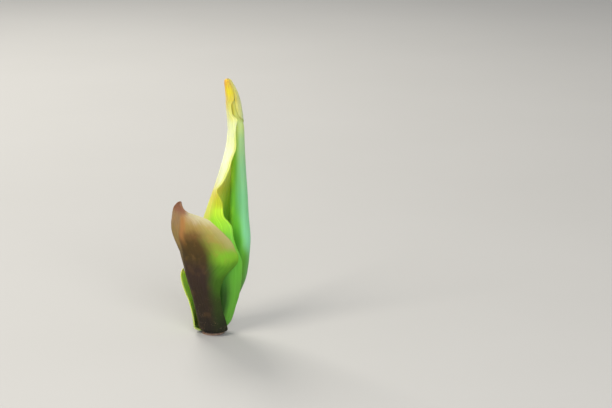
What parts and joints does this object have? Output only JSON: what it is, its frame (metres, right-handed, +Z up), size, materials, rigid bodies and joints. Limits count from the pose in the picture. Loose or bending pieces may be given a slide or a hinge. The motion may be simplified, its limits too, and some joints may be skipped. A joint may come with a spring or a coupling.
{
  "type": "maize seedling",
  "caption": "Young rooted maize shoot: a rolled spear leaf inside a hooded wrapping leaf, with a keeled outer bract and a small basal scale on a short stem.",
  "frame": {"origin": "middle of the flat cut under the stem, at ground level", "axes": "+Z up along the shoot, -Y towards the viewer of the picture, +X to the viewer's right"},
  "size_m": [0.0132, 0.0095, 0.0438],
  "materials": {
    "stem": "satin",
    "scale_green": "satin",
    "bract_ochre": "matte",
    "leaf_lime": "satin",
    "leaf_green": "satin"
  },
  "bodies": {
    "root": {"stem": "stem", "basal_scale": "scale_green", "outer_bract": "bract_ochre", "wrapping_leaf": "leaf_lime", "rolled_leaf": "leaf_green"}
  },
  "joints": []
}
